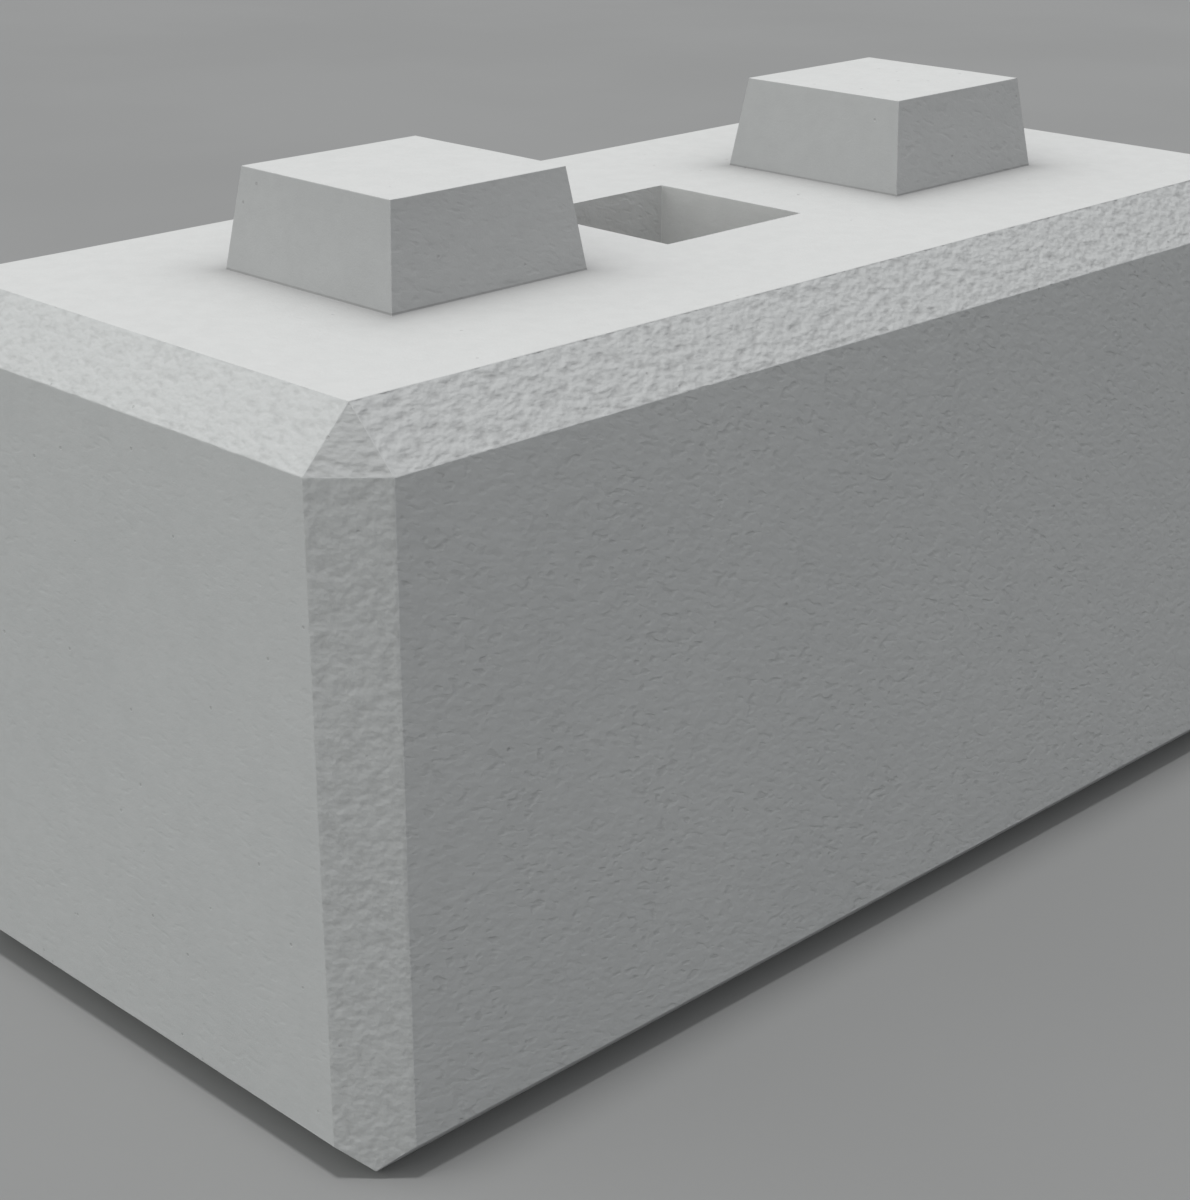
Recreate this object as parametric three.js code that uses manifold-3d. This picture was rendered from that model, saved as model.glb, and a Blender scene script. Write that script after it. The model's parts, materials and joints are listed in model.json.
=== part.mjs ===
// Interlocking concrete block with its cast-in lifting loop and reinforcement cage.
// Millimetres, +Z up. The origin is the centre of the underside, and +X runs along the block's length.

import * as THREE from 'three';
import { ConvexGeometry } from 'three/addons/geometries/ConvexGeometry.js';
import { mergeVertices } from 'three/addons/utils/BufferGeometryUtils.js';
import Module from 'manifold-3d';

const wasm = await Module();
wasm.setup();

// ---------------------------------------------------------------- driving sizes

// Casting
const blockLength = 1600;
const blockWidth = 760;
const blockHeight = 795; // underside to top face, without the studs
const topChamferRun = 49;
const topChamferDrop = 62;
const cornerChamfer = 58; // leg of the bevelled strip down each upright corner
const undercut = 38; // 45 degree bevel round the foot

// Studs, and the sockets that a block above or below fits
const studBase = 274;
const studTop = 242;
const studHeight = 112;
const socketClearance = 8; // round a stud, on each side
const socketHeadroom = 10; // over a stud

// Lifting pocket and loop
const pocketMouth = 226;
const pocketDraft = 4; // each wall leans in by this much at the floor
const pocketDepth = 160;
const loopDiameter = 20;
const loopWallGap = 21; // from the loop's legs to the pocket's wall
const loopRecess = 45; // from the top face down to the loop's crown
const loopEmbedment = 380; // from the pocket's floor down to the hooked feet
const loopFootRadius = 50;
const loopFootLength = 130; // from the leg's axis to the foot's tip
const anchorBarDiameter = 16;
const anchorBarLength = 400;
const anchorBarInset = 35; // from the foot's tip to the anchor bar's axis

// Reinforcement cage
const mainBarDiameter = 12;
const linkDiameter = 10;
const hairpinDiameter = 10;
const sideCover = 50; // concrete outside the links
const endCover = 60;
const topCover = 60;
const bottomCover = 50;
const socketCover = 50; // concrete between a socket and the links beside it
const pocketFloorCover = 44; // concrete between the pocket's floor and the inner bars
const linkBendRadius = 25;
const linkLap = 120; // length that a link's two ends run side by side past their corner
const crossBarEndLap = 14; // a cross bar's end past the side bar's axis
const hairpinEdgeInset = 60; // from a stud's top edge to its cross bars
const hairpinTopCover = 45;
const hairpinBendRadius = 30;
const hairpinLap = 100; // a hairpin's legs below the inner bars
const spacerWidth = 40;
const spacerEdgeInset = 130; // from the block's long face to a spacer's centre

const touchGap = 0.3; // between pieces that lie against each other
const cutOverrun = 1; // how far a cut or a joined piece runs past the face that it meets

// ---------------------------------------------------------------- sizes that follow

// Half-bond walling sets each block's stud in its neighbour's socket, half a block along.
const studOffset = blockLength / 4;
const socketMouth = studBase + 2 * socketClearance;
const socketRoof = studTop + 2 * socketClearance;
const socketDepth = studHeight + socketHeadroom;
const pocketFloorZ = blockHeight - pocketDepth;

const mainBarRadius = mainBarDiameter / 2;
const linkRadius = linkDiameter / 2;
const loopRadius = loopDiameter / 2;

const loopLegY = pocketMouth / 2 - pocketDraft - loopWallGap - loopRadius;
const loopFootZ = pocketFloorZ - loopEmbedment;
const anchorBarY = loopLegY + loopFootLength - anchorBarInset;
const anchorBarZ = loopFootZ + touching(loopDiameter, anchorBarDiameter);

const linkLegY = blockWidth / 2 - sideCover - linkRadius;
const linkTopZ = blockHeight - topCover - linkRadius;
const linkBottomZ = bottomCover + linkRadius;
const linkPositionsX = [
  studOffset - socketMouth / 2 - socketCover - linkRadius,
  studOffset + socketMouth / 2 + socketCover + linkRadius,
  blockLength / 2 - endCover - linkDiameter,
];

const cageBarLength = blockLength - 2 * endCover;
const sideBarY = linkLegY - touching(linkDiameter, mainBarDiameter);
const topCornerBarZ = linkTopZ - linkBendRadius - mainBarRadius;
const bottomCornerBarZ = linkBottomZ + linkBendRadius + mainBarRadius;
const matZ = pocketFloorZ - pocketFloorCover - mainBarRadius; // inner and side bars
const innerBarY = loopLegY + touching(loopDiameter, mainBarDiameter);
const crossBarZ = matZ + touching(mainBarDiameter, mainBarDiameter);
const crossBarLength = 2 * (sideBarY + crossBarEndLap);
const crossBarSetback = studTop / 2 - hairpinEdgeInset; // from a stud's centre

const hairpinLegY = innerBarY - touching(mainBarDiameter, hairpinDiameter);
const hairpinTopZ = blockHeight + studHeight - hairpinTopCover - hairpinDiameter / 2;
const hairpinFootZ = matZ - hairpinLap;
const hairpinSetback = crossBarSetback - touching(mainBarDiameter, hairpinDiameter);

const spacerHeight = linkBottomZ - linkRadius - touchGap;
const spacerX = linkPositionsX[1];
const spacerY = blockWidth / 2 - spacerEdgeInset;

// Distance between the axes of two bars that lie against each other.
function touching(firstDiameter, secondDiameter) {
  return firstDiameter / 2 + secondDiameter / 2 + touchGap;
}

// ---------------------------------------------------------------- solids

function toSolid(geometry) {
  geometry.deleteAttribute('normal');
  geometry.deleteAttribute('uv');
  const merged = mergeVertices(geometry, 1e-4);
  return new wasm.Manifold(new wasm.Mesh({
    numProp: 3,
    vertProperties: new Float32Array(merged.attributes.position.array),
    triVerts: new Uint32Array(merged.index.array),
  }));
}

function toGeometry(solid) {
  const mesh = solid.getMesh();
  const geometry = new THREE.BufferGeometry();
  geometry.setAttribute('position', new THREE.BufferAttribute(mesh.vertProperties, mesh.numProp));
  geometry.setIndex(new THREE.BufferAttribute(mesh.triVerts, 1));
  return geometry;
}

// Convex solid through centred squares, given as [height, side] pairs.
function squareStack(centreX, levels) {
  const points = [];
  for (const [z, side] of levels) {
    for (const signX of [-1, 1]) {
      for (const signY of [-1, 1]) {
        points.push(new THREE.Vector3(centreX + signX * side / 2, signY * side / 2, z));
      }
    }
  }
  return toSolid(new ConvexGeometry(points));
}

// ---------------------------------------------------------------- bars

// A bar's axis as a chain of points, each of which the sweep passes exactly once.
class BarAxis extends THREE.Curve {
  constructor(points) {
    super();
    this.points = points;
  }

  getPointAt(u) {
    return this.points[Math.round(u * (this.points.length - 1))].clone();
  }

  getTangentAt(u) {
    const index = Math.round(u * (this.points.length - 1));
    const tangent = new THREE.Vector3();
    for (const step of [index - 1, index]) {
      if (this.points[step] && this.points[step + 1]) {
        tangent.add(this.points[step + 1].clone().sub(this.points[step]).normalize());
      }
    }
    return tangent.normalize();
  }
}

// Points along a chain of corners, each inner corner rounded to the radius given with it.
function roundedChain(corners, segmentsPerBend) {
  const last = corners.length - 1;
  const points = [corners[0].at];
  for (let i = 1; i < last; i++) {
    const { at, radius } = corners[i];
    const back = corners[i - 1].at.clone().sub(at).normalize();
    const ahead = corners[i + 1].at.clone().sub(at).normalize();
    const halfAngle = back.angleTo(ahead) / 2;
    const centre = back.clone().add(ahead).normalize().multiplyScalar(radius / Math.sin(halfAngle)).add(at);
    const start = back.multiplyScalar(radius / Math.tan(halfAngle)).add(at).sub(centre);
    const end = ahead.multiplyScalar(radius / Math.tan(halfAngle)).add(at).sub(centre);
    const sweep = Math.PI - 2 * halfAngle;
    for (let k = 0; k <= segmentsPerBend; k++) {
      const share = k / segmentsPerBend;
      const point = start.clone().multiplyScalar(Math.sin((1 - share) * sweep) / Math.sin(sweep));
      point.addScaledVector(end, Math.sin(share * sweep) / Math.sin(sweep)).add(centre);
      if (point.distanceTo(points[points.length - 1]) > touchGap) {
        points.push(point);
      }
    }
  }
  points.push(corners[last].at);
  return points;
}

// Both ends of a chain of points, moved outwards.
function lengthened(points, distance) {
  const ends = [[0, 1], [points.length - 1, points.length - 2]];
  const moved = points.map((point) => point.clone());
  for (const [end, neighbour] of ends) {
    const outward = points[end].clone().sub(points[neighbour]).normalize();
    moved[end].addScaledVector(outward, distance);
  }
  return moved;
}

// Octagonal bar along a chain of points; its flats are the bar's diameter apart.
function sweptBar(points, diameter) {
  const cornerRadius = diameter / 2 / Math.cos(Math.PI / 8);
  const outline = [];
  for (let side = 0; side < 8; side++) {
    const angle = (side + 0.5) * Math.PI / 4;
    outline.push(new THREE.Vector2(cornerRadius * Math.cos(angle), cornerRadius * Math.sin(angle)));
  }
  return new THREE.ExtrudeGeometry(new THREE.Shape(outline), {
    steps: points.length - 1,
    bevelEnabled: false,
    extrudePath: new BarAxis(points),
  });
}

const block = new THREE.Group();
const castIn = new THREE.Group();
const moulds = []; // the room that each cast-in piece takes out of the concrete
block.add(castIn);

function addCastIn(name, geometry, room, material, place) {
  const mesh = new THREE.Mesh(geometry, material);
  mesh.name = name;
  mesh.position.copy(place);
  castIn.add(mesh);
  moulds.push(toSolid(room.translate(place.x, place.y, place.z)));
}

function addBar(name, points, diameter, place) {
  const steel = new THREE.MeshStandardMaterial({ color: 0x6b5346, roughness: 0.7, metalness: 0.8 });
  const room = sweptBar(lengthened(points, touchGap), diameter + 2 * touchGap);
  addCastIn(name, sweptBar(points, diameter), room, steel, place);
}

function straight(length, direction) {
  return [-length / 2, length / 2].map((distance) => direction.clone().multiplyScalar(distance));
}

const alongX = new THREE.Vector3(1, 0, 0);
const alongY = new THREE.Vector3(0, 1, 0);

// Corner of a bar bent in an upright plane across the block.
function corner(x, y, z, radius = 0) {
  return { at: new THREE.Vector3(x, y, z), radius };
}

// ---------------------------------------------------------------- lifting loop

function addLiftingLoop() {
  const crownZ = blockHeight - loopRecess - loopRadius;
  const tipY = loopLegY + loopFootLength;
  const chain = roundedChain([
    corner(0, -tipY, loopFootZ),
    corner(0, -loopLegY, loopFootZ, loopFootRadius),
    corner(0, -loopLegY, crownZ, loopLegY),
    corner(0, loopLegY, crownZ, loopLegY),
    corner(0, loopLegY, loopFootZ, loopFootRadius),
    corner(0, tipY, loopFootZ),
  ], 5);
  addBar('lifting_loop', chain, loopDiameter, new THREE.Vector3());
  [-1, 1].forEach((side, index) => {
    const place = new THREE.Vector3(0, side * anchorBarY, anchorBarZ);
    addBar(`loop_anchor_bar_${index + 1}`, straight(anchorBarLength, alongX), anchorBarDiameter, place);
  });
}

// ---------------------------------------------------------------- cage

function addLongBars() {
  const pairs = [
    ['top_corner_bar', sideBarY, topCornerBarZ],
    ['side_bar', sideBarY, matZ],
    ['inner_bar', innerBarY, matZ],
    ['bottom_corner_bar', sideBarY, bottomCornerBarZ],
  ];
  for (const [name, y, z] of pairs) {
    [-1, 1].forEach((side, index) => {
      const place = new THREE.Vector3(0, side * y, z);
      addBar(`${name}_${index + 1}`, straight(cageBarLength, alongX), mainBarDiameter, place);
    });
  }
}

// A link goes once round the cage. Its ends lie side by side round one top corner, so its legs stand
// one bar apart along the block, and the bottom run leads from one to the other.
function linkChain() {
  const near = -touching(linkDiameter, linkDiameter) / 2;
  const far = -near;
  return roundedChain([
    corner(near, -linkLegY + linkLap, linkTopZ),
    corner(near, -linkLegY, linkTopZ, linkBendRadius),
    corner(near, -linkLegY, linkBottomZ, linkBendRadius),
    corner(far, linkLegY, linkBottomZ, linkBendRadius),
    corner(far, linkLegY, linkTopZ, linkBendRadius),
    corner(far, -linkLegY, linkTopZ, linkBendRadius),
    corner(far, -linkLegY, linkTopZ - linkLap),
  ], 3);
}

function addLinks() {
  const positions = [...linkPositionsX.map((x) => -x).reverse(), ...linkPositionsX];
  positions.forEach((x, index) => {
    addBar(`link_${index + 1}`, linkChain(), linkDiameter, new THREE.Vector3(x, 0, 0));
  });
}

function addStudSteel() {
  const hairpin = roundedChain([
    corner(0, -hairpinLegY, hairpinFootZ),
    corner(0, -hairpinLegY, hairpinTopZ, hairpinBendRadius),
    corner(0, hairpinLegY, hairpinTopZ, hairpinBendRadius),
    corner(0, hairpinLegY, hairpinFootZ),
  ], 3);
  let number = 1;
  for (const studSide of [-1, 1]) {
    for (const side of [-1, 1]) {
      const studX = studSide * studOffset;
      const crossPlace = new THREE.Vector3(studX + side * crossBarSetback, 0, crossBarZ);
      const hairpinPlace = new THREE.Vector3(studX + side * hairpinSetback, 0, 0);
      addBar(`cross_bar_${number}`, straight(crossBarLength, alongY), mainBarDiameter, crossPlace);
      addBar(`stud_hairpin_${number}`, hairpin, hairpinDiameter, hairpinPlace);
      number += 1;
    }
  }
}

function addSpacers() {
  let number = 1;
  for (const sideX of [-1, 1]) {
    for (const sideY of [-1, 1]) {
      const mortar = new THREE.MeshStandardMaterial({ color: 0x8d8b86, roughness: 0.9, metalness: 0 });
      const geometry = new THREE.BoxGeometry(spacerWidth, spacerWidth, spacerHeight);
      const roomWidth = spacerWidth + 2 * touchGap;
      const roomHeight = spacerHeight + touchGap + cutOverrun;
      const room = new THREE.BoxGeometry(roomWidth, roomWidth, roomHeight);
      room.translate(0, 0, (touchGap - cutOverrun) / 2);
      const place = new THREE.Vector3(sideX * spacerX, sideY * spacerY, spacerHeight / 2);
      addCastIn(`cover_spacer_${number}`, geometry, room, mortar, place);
      number += 1;
    }
  }
}

// ---------------------------------------------------------------- casting

// Body with bevelled upright corners and a top that each chamfer slopes up to; the top's corners
// stay square, which leaves a sloping triangle over each corner strip.
function bevelledBody() {
  const points = [];
  const halfLength = blockLength / 2;
  const halfWidth = blockWidth / 2;
  for (const signX of [-1, 1]) {
    for (const signY of [-1, 1]) {
      for (const z of [0, blockHeight - topChamferDrop]) {
        points.push(new THREE.Vector3(signX * halfLength, signY * (halfWidth - cornerChamfer), z));
        points.push(new THREE.Vector3(signX * (halfLength - cornerChamfer), signY * halfWidth, z));
      }
      const topX = signX * (halfLength - topChamferRun);
      const topY = signY * (halfWidth - topChamferRun);
      points.push(new THREE.Vector3(topX, topY, blockHeight));
    }
  }
  return toSolid(new ConvexGeometry(points));
}

// Everything inside the two 45 degree bevels along one pair of bottom edges.
function undercutEnvelope(span, length) {
  const foot = span / 2 - undercut;
  const reach = blockHeight + cutOverrun;
  const outline = new THREE.Shape([
    new THREE.Vector2(-foot, 0),
    new THREE.Vector2(foot, 0),
    new THREE.Vector2(foot + reach, reach),
    new THREE.Vector2(-foot - reach, reach),
  ]);
  const envelope = new THREE.ExtrudeGeometry(outline, { depth: length, bevelEnabled: false });
  envelope.translate(0, 0, -length / 2);
  envelope.rotateX(Math.PI / 2);
  return envelope;
}

function castBlock() {
  const acrossLength = toSolid(undercutEnvelope(blockLength, 2 * blockWidth));
  const acrossWidth = toSolid(undercutEnvelope(blockWidth, 2 * blockLength).rotateZ(Math.PI / 2));
  let concrete = bevelledBody().intersect(acrossLength).intersect(acrossWidth);
  for (const side of [-1, 1]) {
    const studX = side * studOffset;
    const stud = squareStack(studX, [
      [blockHeight - cutOverrun, studBase],
      [blockHeight, studBase],
      [blockHeight + studHeight, studTop],
    ]);
    const socket = squareStack(studX, [
      [-cutOverrun, socketMouth],
      [0, socketMouth],
      [socketDepth, socketRoof],
    ]);
    concrete = concrete.add(stud).subtract(socket);
  }
  const pocket = squareStack(0, [
    [pocketFloorZ, pocketMouth - 2 * pocketDraft],
    [blockHeight, pocketMouth],
    [blockHeight + cutOverrun, pocketMouth],
  ]);
  concrete = concrete.subtract(pocket);
  for (const mould of moulds) {
    concrete = concrete.subtract(mould);
  }
  return concrete;
}

addLiftingLoop();
addLongBars();
addLinks();
addStudSteel();
addSpacers();

const concreteMaterial = new THREE.MeshStandardMaterial({ color: 0xa3a3a1, roughness: 0.92, metalness: 0 });
const casting = new THREE.Mesh(toGeometry(castBlock()), concreteMaterial);
casting.name = 'concrete_block';
block.add(casting);

export default block;
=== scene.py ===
"""Finishes an interlocking concrete block: rough-cast surfaces, lifting loop, cage steel and studio."""

import json
import math

import bpy
from bpy.props import FloatProperty, FloatVectorProperty, IntProperty, PointerProperty
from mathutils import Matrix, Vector


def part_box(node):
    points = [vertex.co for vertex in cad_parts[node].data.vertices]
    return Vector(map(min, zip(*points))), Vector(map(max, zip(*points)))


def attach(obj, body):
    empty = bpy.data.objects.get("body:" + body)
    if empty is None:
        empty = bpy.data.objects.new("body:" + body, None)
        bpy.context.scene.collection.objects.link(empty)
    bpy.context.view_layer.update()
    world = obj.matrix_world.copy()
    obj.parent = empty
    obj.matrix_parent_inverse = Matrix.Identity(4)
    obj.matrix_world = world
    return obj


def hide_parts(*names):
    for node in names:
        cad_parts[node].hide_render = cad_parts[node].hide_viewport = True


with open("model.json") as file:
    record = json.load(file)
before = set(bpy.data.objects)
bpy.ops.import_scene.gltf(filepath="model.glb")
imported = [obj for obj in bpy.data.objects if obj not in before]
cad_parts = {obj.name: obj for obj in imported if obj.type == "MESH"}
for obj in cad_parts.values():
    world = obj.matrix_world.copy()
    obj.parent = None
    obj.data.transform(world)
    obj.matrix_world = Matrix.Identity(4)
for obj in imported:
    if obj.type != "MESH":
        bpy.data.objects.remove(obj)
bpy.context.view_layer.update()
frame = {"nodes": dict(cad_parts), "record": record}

bl_info = {
    "name": "Interlocking Block Finisher",
    "version": (1, 0, 0),
    "blender": (4, 5, 0),
    "location": "View3D > Sidebar > Block",
    "description": "Builds the cast surface, lifting loop, steel finishes and studio of a concrete block",
    "category": "Add Mesh",
}

BODY = "root"
LOW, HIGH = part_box("concrete_block")
MOUNTS = {mount["name"]: Vector(mount["pos_m"]) for mount in frame["record"]["mounts"]}
TOP_Z = MOUNTS["top_bearing_face"].z
STUD_X = MOUNTS["stud_top_2"].x
STUD_TOP_Z = MOUNTS["stud_top_2"].z
SOCKET_ROOF_Z = MOUNTS["socket_roof_2"].z
SIDES = (-1, 1)
JOINT_GAP = 0.0004  # room between a cover spacer and the concrete round it
OVERRUN = 0.002  # how far a cutter runs past the face that it opens
TURN_SIGN = -1  # which way spin turns for a positive angle
QUARTER_TURN = math.radians(90)
SENSOR_WIDTH = 36.0  # of the camera, in millimetres
MERGE_GAP = 1e-6  # closer points are one point where a plane cuts a mesh
SHARP_EDGE = math.radians(12)  # edges that turn by more than this are worn
SMOOTH_EDGE = math.radians(35)  # edges of the lifting loop that turn by less than this are shaded smooth
SAME_WAY = 0.9998  # cosine over which two directions count as one
SQUARE_ON = 0.98  # share of an axis in a normal over which a face counts as level or upright
STEEP = 0.5  # upward share of a normal under which a face counts as a side
UPRIGHT = 0.1  # upward share of a normal under which a bevel counts as upright
END_GRAIN = 0.12  # share of the sides' pits that the end faces have
POCKET_GRAIN = 0.5  # the same, for the walls of the lifting pocket
# The pocket's walls take the top's pale colour as painted light.
POCKET_PAINTED_LIGHT = 0.8  # share of the top's pale skin on the walls of the lifting pocket
CORNER_ROUGHNESS = 0.7  # of the triangle where two top chamfers meet a bevelled corner
# The corner triangles take part of the darker pressed colour as painted shade.
CORNER_PAINTED_SHADE = 0.6  # share of the pressed colour on that triangle
UPRIGHT_LUMP_SHARE = 0.75  # size of the lumps on upright bevels, as a share of the others'
BAR_END_SHARE = 0.2  # chamfer on a cage bar's cut ends, as a share of its core
STAIN_FADE = (0.010, 0.004)  # heights over the pocket floor where the rust ends, and where it is whole
SADDLE_RADIUS = 0.6  # radius of a spacer's saddle, in diameters of its bar
SADDLE_RISE = 0.35  # height of the saddle's middle over the spacer, in diameters of its bar
RIB_STEPS = ((0.45, 0), (0.15, 1), (0.25, 0), (0.15, -1))  # share of the pitch, and growth to the rib's top
BAR_SLOTS = {
    "loop_anchor_bar": "bar_steel",
    "top_corner_bar": "bar_steel",
    "side_bar": "bar_steel",
    "inner_bar": "bar_steel",
    "bottom_corner_bar": "bar_steel",
    "link": "link_steel",
    "cross_bar": "link_steel",
    "stud_hairpin": "link_steel",
}

# Sockets of a Mix node, by number, because the ones for numbers and for colours have the same names.
NUMBER_A, NUMBER_B, NUMBER_RESULT = 2, 3, 0
COLOUR_A, COLOUR_B, COLOUR_RESULT = 6, 7, 2
MIX_FACTOR = 0

# How far the concrete's colour moves towards the pit colour, or towards the pale top for the drift. The
# strip, pit, hole and valley shares are painted shade; the mottle and the speckle are the concrete's own
# tone.
DRIFT_SHARE = 0.10
MOTTLE_SHARE = 0.06
SPECKLE_SHARE = 0.05
STRIP_SHADE = 0.09
PIT_SHADE = 0.15
HOLE_SHADE = 0.35
VALLEY_SHADE = 0.30

# Heights of the concrete's fine relief, in metres.
GRAIN_HEIGHT = 0.0004
PEEL_HEIGHT = 0.00048
PIT_HEIGHT = 0.0009
HOLE_HEIGHT = 0.0010
LUMP_HEIGHT = 0.0042


# ---------------------------------------------------------------- settings

def length(name, description, default):
    return FloatProperty(name=name, description=description, default=default, min=0.0, unit="LENGTH")


def colour(name, description, default):
    return FloatVectorProperty(
        name=name, description=description, default=default, size=3, subtype="COLOR", min=0.0, max=1.0
    )


class CastingSettings(bpy.types.PropertyGroup):
    chamfer_run: length("Chamfer run", "Top chamfer, measured across the top face", 0.049)
    chamfer_drop: length("Chamfer drop", "Top chamfer, measured down the side", 0.062)
    corner_leg: length("Corner leg", "Leg of the bevelled strip down each upright corner", 0.058)
    undercut: length("Undercut", "45 degree bevel round the foot", 0.038)
    stud_base: length("Stud base", "Side of a stud where it meets the top face", 0.274)
    stud_top: length("Stud top", "Side of a stud at its top", 0.242)
    socket_clearance: length("Socket clearance", "Room round a stud in a socket, on each side", 0.008)
    pocket_mouth: length("Pocket mouth", "Side of the lifting pocket at the top face", 0.226)
    pocket_floor: length("Pocket floor", "Side of the lifting pocket at its floor", 0.218)
    pocket_depth: length("Pocket depth", "Depth of the lifting pocket", 0.160)
    arris: length("Arris", "Width of the worn flat along every sharp edge", 0.0022)
    cell: length("Cell", "Size of the mesh cells on the flat faces", 0.0155)
    lump_size: length("Lump size", "Length of the lumps on the rough bevels", 0.016)
    lump_depth: length("Lump depth", "Depth of the lumps on the rough bevels", 0.0018)
    lump_flatness: FloatProperty(
        name="Lump flatness", description="Height of a lump as a share of its length", default=0.55, min=0.1
    )
    hollow_size: length("Hollow size", "Size of the faint hollows in the flat faces", 0.22)
    hollow_depth: length("Hollow depth", "Depth of the faint hollows in the flat faces", 0.0010)
    pit_slope: FloatProperty(
        name="Pit slope", description="How far the long pits of the sides slope down from the level",
        default=math.radians(23), subtype="ANGLE",
    )
    stain_reach: length("Stain reach", "How far rust has spread round a leg of the lifting loop", 0.034)
    # Painted shade on the top round each stud's foot: how far it reaches, and how dark it is.
    painted_shade_reach: length("Soil reach", "Distance in which the soil round a stud's foot fades to a third", 0.032)
    painted_shade_depth: FloatProperty(
        name="Soil depth", description="How dark the soil is at the foot of a stud", default=0.82, max=1.0
    )
    fine_cuts: IntProperty(
        name="Fine cuts", description="Cuts that refine each cell on the rough bevels", default=3,
        min=0, max=4,
    )


class FinishSettings(bpy.types.PropertyGroup):
    formed: colour("Formed concrete", "Sides cast against the mould", (0.426, 0.435, 0.437))
    # The trowelled colour is partly the top's own cement skin and partly painted light: faces take more of it
    # the more they face up.
    trowelled: colour("Trowelled concrete", "Paler cement skin on the top", (0.562, 0.567, 0.561))
    # Painted shade: the darker pressed colour stands for shade on the studs' and sockets' sides and on the
    # corner triangles.
    pressed_and_painted_shade: colour("Pressed concrete", "Denser sides of the studs and sockets", (0.35, 0.355, 0.357))
    # The pit colour is the concrete's darker tone for the mottle, the speckle and the mortar's sand, and
    # painted shade in the pits, holes, lump valleys, strips and round the studs' feet.
    dark_tone_and_painted_shade: colour("Pit", "Colour down in the pits", (0.24, 0.24, 0.24))
    stain: colour("Stain", "Rust that has run into the concrete", (0.27, 0.17, 0.10))
    mortar: colour("Mortar", "Cover spacers", (0.36, 0.35, 0.32))
    steel: colour("Steel", "Bare steel of the lifting loop", (0.30, 0.29, 0.28))
    scale: colour("Mill scale", "Mill scale on the cage bars", (0.09, 0.085, 0.085))
    rust: colour("Rust", "Rust on the steel", (0.27, 0.10, 0.035))
    floor: colour("Floor", "Studio floor", (0.233, 0.235, 0.234))


class SteelSettings(bpy.types.PropertyGroup):
    loop_leg: length("Loop leg", "Loop leg's distance from the middle of the block", 0.078)
    loop_bend: length("Loop bend", "Radius of the bend at the foot of each leg", 0.050)
    link_diameter: length("Link diameter", "Diameter of a link's bar", 0.010)
    link_lap: length("Link lap", "Length by which a link's two ends run past their corner", 0.120)
    link_bend: length("Link bend", "Radius of a link's corners", 0.025)
    hairpin_bend: length("Hairpin bend", "Radius of a hairpin's corners", 0.030)
    end_chamfer: length("End chamfer", "Chamfer on the loop's cut ends", 0.0012)
    spacer_corner: length("Spacer corner", "Rounding of a cover spacer's upright corners", 0.004)
    spacer_shoulder: length("Spacer shoulder", "Height of a cover spacer's sloping top", 0.014)
    core_share: FloatProperty(
        name="Core share", description="Bar's core, as a share of the width over its ribs", default=0.92,
        min=0.5, max=1.0,
    )
    rib_pitch: FloatProperty(
        name="Rib pitch", description="Distance between ribs, in bar diameters", default=0.75, min=0.3
    )
    loop_sides: IntProperty(name="Loop sides", description="Faces round the loop's bar", default=28, min=8)
    bar_sides: IntProperty(name="Bar sides", description="Faces round a cage bar", default=12, min=6)
    bend_steps: IntProperty(name="Bend steps", description="Steps round a quarter bend", default=8, min=3)


class StudioSettings(bpy.types.PropertyGroup):
    camera_place: FloatVectorProperty(
        name="Camera place", description="Where the camera stands", default=(-2.017, -1.912, 1.402),
        size=3, subtype="TRANSLATION",
    )
    heading: FloatProperty(
        name="Heading", description="Turn from the block's cross axis", default=math.radians(44.83),
        subtype="ANGLE",
    )
    dip: FloatProperty(
        name="Dip", description="How far the camera looks down", default=math.radians(21.56), subtype="ANGLE"
    )
    lens: FloatProperty(name="Lens", description="Focal length", default=71.47, min=1.0, unit="CAMERA")
    key_strength: FloatProperty(name="Key strength", description="Soft light from above", default=1.96)
    key_lean: FloatProperty(
        name="Key lean", description="How far the key light leans to the block's near end",
        default=math.radians(3), subtype="ANGLE",
    )
    key_softness: FloatProperty(
        name="Key softness", description="Spread of the key light", default=math.radians(10), subtype="ANGLE"
    )
    sky_level: FloatProperty(name="Sky level", description="Light from straight above", default=0.302)
    fill_level: FloatProperty(name="Fill level", description="Light from the block's near end", default=0.98)
    horizon_share: FloatProperty(
        name="Horizon share", description="Light from the horizon, as a share of the sky level", default=2.2
    )
    sky_tint: colour("Sky tint", "Colour of the sky's light", (0.965, 0.975, 1.0))
    fill_tint: colour("Fill tint", "Colour of the fill's light", (0.985, 1.0, 0.965))
    floor_width: length("Floor width", "Side of the studio floor", 60.0)


# ---------------------------------------------------------------- frame and mesh helpers

def kind_of(node):
    """Name of a CAD node without its number."""
    return node.rstrip("0123456789").rstrip("_")


def object_mode():
    """Leaves edit mode, and deselects every object."""
    if bpy.context.object and bpy.context.object.mode != "OBJECT":
        bpy.ops.object.mode_set(mode="OBJECT")
    bpy.ops.object.select_all(action="DESELECT")


def pick(obj):
    """Leaves edit mode, and makes one object active and the only one selected."""
    object_mode()
    obj.select_set(True)
    bpy.context.view_layer.objects.active = obj


def edit_mode():
    """Opens the active object's mesh with nothing selected."""
    bpy.ops.object.mode_set(mode="EDIT")
    bpy.ops.mesh.select_all(action="DESELECT")


def add_box(name, low, high):
    """Adds a box with its place in its mesh and its object at the origin."""
    object_mode()
    low, high = Vector(low), Vector(high)
    bpy.ops.mesh.primitive_cube_add(size=1, location=(low + high) / 2, scale=high - low)
    bpy.ops.object.transform_apply(location=True, rotation=True, scale=True)
    box = bpy.context.object
    box.name = name
    box.data.name = name
    return box


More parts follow.
